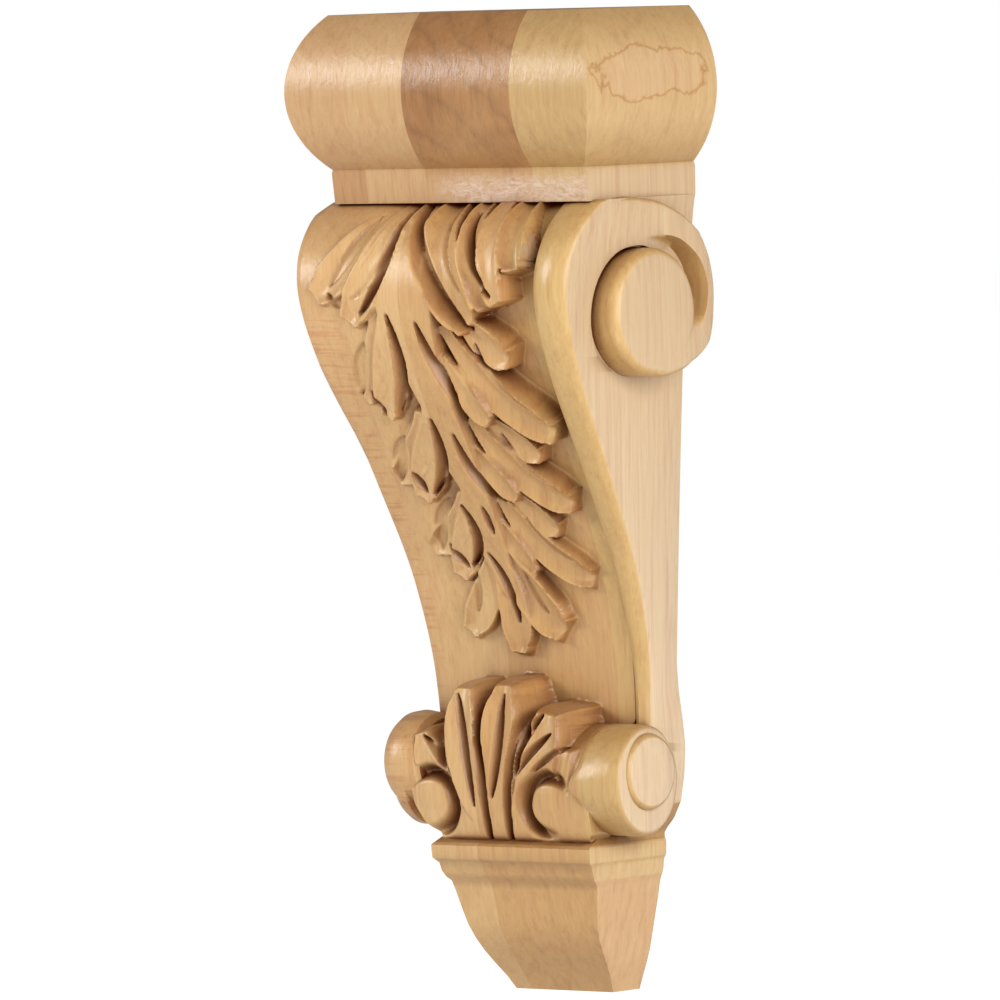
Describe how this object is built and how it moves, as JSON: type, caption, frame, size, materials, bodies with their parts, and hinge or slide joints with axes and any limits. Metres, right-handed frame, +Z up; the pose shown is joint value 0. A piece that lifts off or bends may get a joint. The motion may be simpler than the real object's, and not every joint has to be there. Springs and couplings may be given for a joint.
{
  "type": "wooden corbel bracket",
  "caption": "Carved wooden corbel with a rounded mitred top, S-curved acanthus leaf front, side scrolls, shell and tapering drop",
  "frame": {"origin": "middle of the flat back, half way across and half way up", "axes": "+Z up the wall, +Y out of the back into the wall, -Y is the carved front, +X to the right seen from the front"},
  "size_m": [0.086, 0.0488, 0.216],
  "materials": {
    "wood": "clear satin, glued-up staves"
  },
  "bodies": {
    "root": {"corbel": "wood"}
  },
  "joints": []
}
